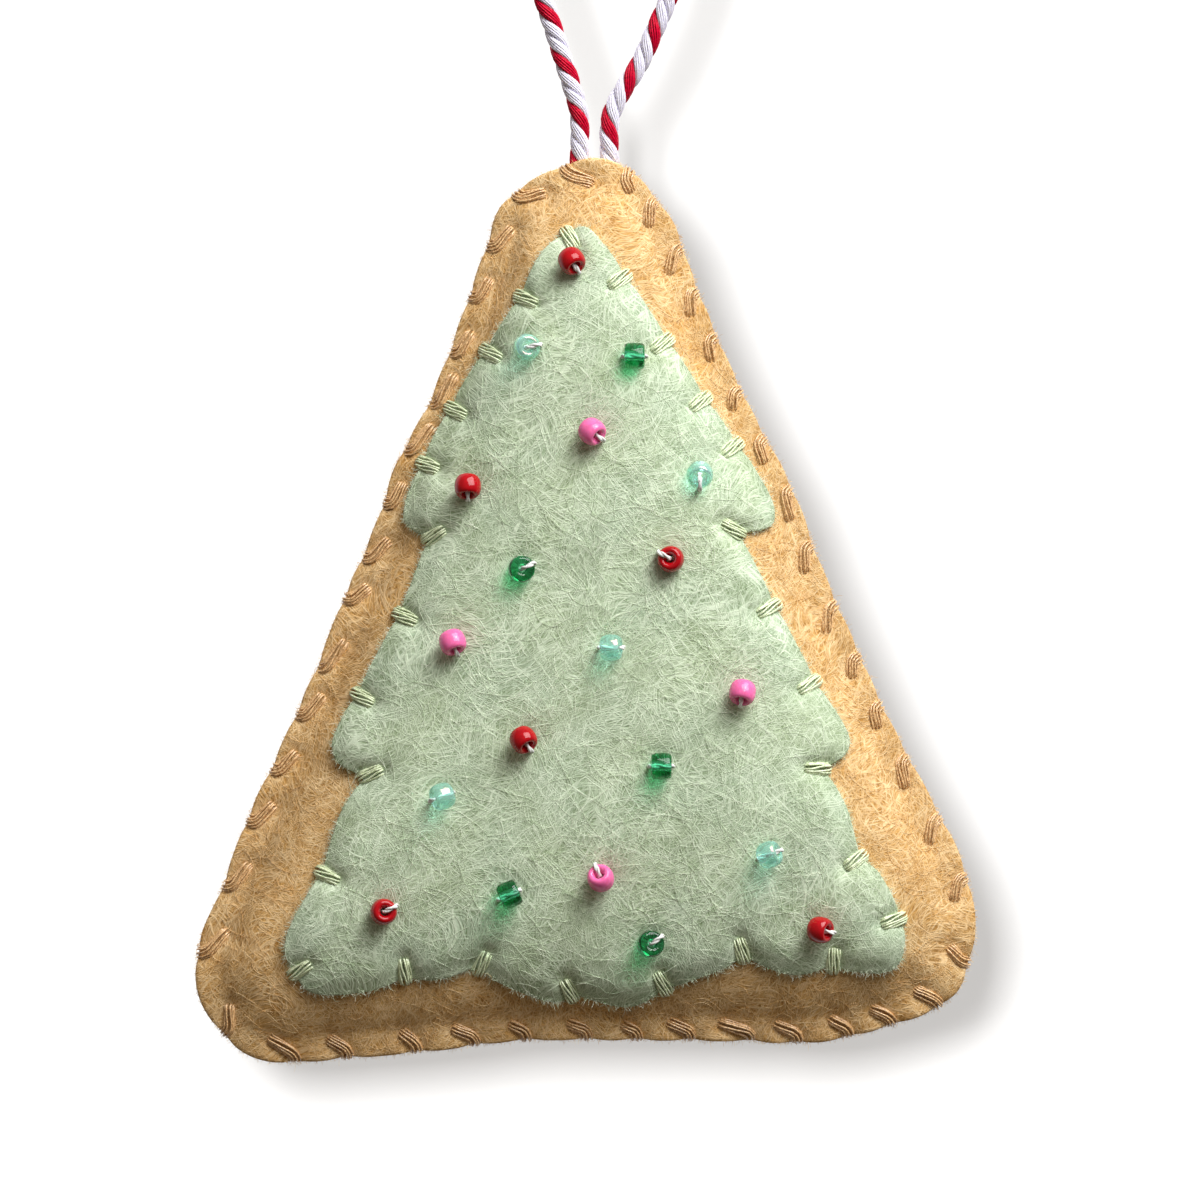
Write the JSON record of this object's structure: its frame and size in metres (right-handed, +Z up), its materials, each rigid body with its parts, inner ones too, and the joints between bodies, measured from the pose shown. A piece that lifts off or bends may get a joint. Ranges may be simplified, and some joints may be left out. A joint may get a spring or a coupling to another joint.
{
  "type": "christmas ornament",
  "caption": "Stuffed felt cookie-shaped ornament with a beaded felt tree sewn on its front, hung on a loop of twine.",
  "frame": {"origin": "where the loop hangs on its hook, at the underside of the loop's top", "axes": "+Z up along the hang, the tree side faces -Y, +X to the viewer's right"},
  "size_m": [0.0707, 0.0162, 0.1489],
  "materials": {
    "tan_felt": "matted wool felt",
    "mint_felt": "matted wool felt",
    "tan_floss": "satin cotton floss",
    "green_floss": "satin cotton floss",
    "white_thread": "fine sewing thread",
    "twine": "three-ply cotton, one ply red and two white",
    "filling": "loose fibre fill",
    "red_glass": "opaque gloss",
    "pink_glass": "opaque gloss",
    "aqua_glass": "clear with a pale lustre",
    "green_glass": "clear gloss"
  },
  "bodies": {
    "hanger": {"hanger_loop": "twine"},
    "cookie": {"hanger_knot": "twine", "front_panel": "tan_felt", "back_panel": "tan_felt", "stuffing": "filling", "tree_applique": "mint_felt", "edge_thread": "tan_floss", "tree_thread": "green_floss", "bead_thread": "white_thread", "red_bead_1": "red_glass", "red_bead_2": "red_glass", "red_bead_3": "red_glass", "red_bead_4": "red_glass", "red_bead_5": "red_glass", "red_bead_6": "red_glass", "aqua_bead_1": "aqua_glass", "aqua_bead_2": "aqua_glass", "aqua_bead_3": "aqua_glass", "aqua_bead_4": "aqua_glass", "aqua_bead_5": "aqua_glass", "green_bead_1": "green_glass", "green_bead_2": "green_glass", "green_bead_3": "green_glass", "green_bead_4": "green_glass", "green_bead_5": "green_glass", "pink_bead_1": "pink_glass", "pink_bead_2": "pink_glass", "pink_bead_3": "pink_glass", "pink_bead_4": "pink_glass"}
  },
  "joints": [
    {"name": "loop_swing", "type": "hinge", "parent": "hanger", "child": "cookie", "pos_m": [0, 0, -0.0645], "axis": [1, 0, 0], "range_deg": [-90, 90]}
  ]
}
